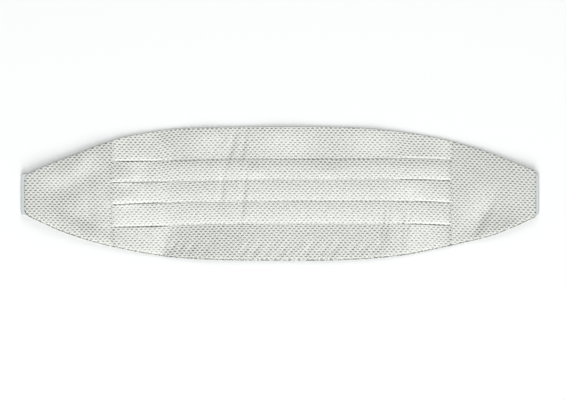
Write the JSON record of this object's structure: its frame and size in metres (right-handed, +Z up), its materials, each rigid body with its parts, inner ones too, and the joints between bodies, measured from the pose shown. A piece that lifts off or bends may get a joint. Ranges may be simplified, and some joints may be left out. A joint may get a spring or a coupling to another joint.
{
  "type": "pleated cummerbund",
  "caption": "Broad pleated waist sash of pin-dot cloth, tapering to blunt ends, with a plain lining and a strap and clasp beneath.",
  "frame": {"origin": "under the middle of the whole sash, on the plane that it lies on", "axes": "+X along the sash towards its right end as pictured, +Y towards its upper long edge as worn, +Z up out of the face"},
  "size_m": [0.5, 0.1294, 0.0092],
  "materials": {
    "face_cloth": "satin jacquard with a small staggered pin dot",
    "lining_cloth": "plain satin",
    "strap_band": "plain band",
    "clasp_metal": "brushed"
  },
  "bodies": {
    "root": {"pleated_panel": "face_cloth", "left_end_panel": "face_cloth", "right_end_panel": "face_cloth", "back_lining": "lining_cloth", "left_strap": "strap_band", "right_strap": "strap_band", "clasp_plate": "clasp_metal"}
  },
  "joints": []
}
